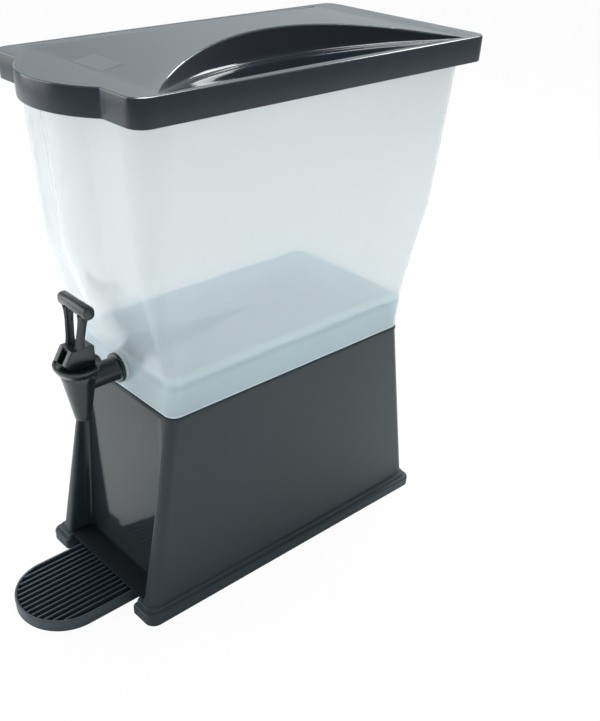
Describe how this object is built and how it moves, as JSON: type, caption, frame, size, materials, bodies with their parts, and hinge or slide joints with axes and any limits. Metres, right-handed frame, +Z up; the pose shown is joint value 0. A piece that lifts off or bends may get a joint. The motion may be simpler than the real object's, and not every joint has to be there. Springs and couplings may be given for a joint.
{
  "type": "juice dispenser",
  "caption": "Countertop juice dispenser: milky reservoir with a dark lid on a hollow stand, lever tap and sliding drip tray.",
  "frame": {"origin": "on the table, under the middle of the whole object's box", "axes": "+Z up, -Y to the front where the tap and the drip tray are, +X to the right as seen from the front"},
  "size_m": [0.221, 0.534, 0.5604],
  "materials": {
    "stand_plastic": "satin charcoal moulding",
    "lid_plastic": "satin slate moulding with a fine grain on top",
    "milky_plastic": "frosted translucent",
    "tap_plastic": "black satin",
    "silicone": "milky soft silicone",
    "pin_steel": "plain"
  },
  "bodies": {
    "stand": {"base": "stand_plastic"},
    "tray": {"drip_tray": "stand_plastic"},
    "vessel": {"reservoir": "milky_plastic", "tap_body": "tap_plastic", "tap_bonnet": "tap_plastic", "outer_washer": "silicone", "inner_washer": "silicone", "shank_nut": "tap_plastic"},
    "cover": {"lid": "lid_plastic"},
    "stem": {"valve_stem": "tap_plastic", "seat_cup": "silicone"},
    "handle": {"tap_handle": "tap_plastic", "handle_pin": "pin_steel"}
  },
  "joints": [
    {"name": "tray_slide", "type": "slide", "parent": "stand", "child": "tray", "axis": [0, -1, 0], "range_m": [0, 0.12]},
    {"name": "reservoir_lift", "type": "slide", "parent": "stand", "child": "vessel", "axis": [0, 0, 1], "range_m": [0, 0.08]},
    {"name": "lid_lift", "type": "slide", "parent": "vessel", "child": "cover", "axis": [0, 0, 1], "range_m": [0, 0.06]},
    {"name": "stem_lift", "type": "slide", "parent": "vessel", "child": "stem", "axis": [0, 0, 1], "range_m": [0, 0.0063]},
    {"name": "handle_tilt", "type": "hinge", "parent": "stem", "child": "handle", "pos_m": [0, -0.162, 0.2948], "axis": [1, 0, 0], "range_deg": [0, 60]}
  ],
  "couplings": [
    {"joint": "stem_lift", "follows": "handle_tilt", "m_per_rad": 0.006}
  ]
}
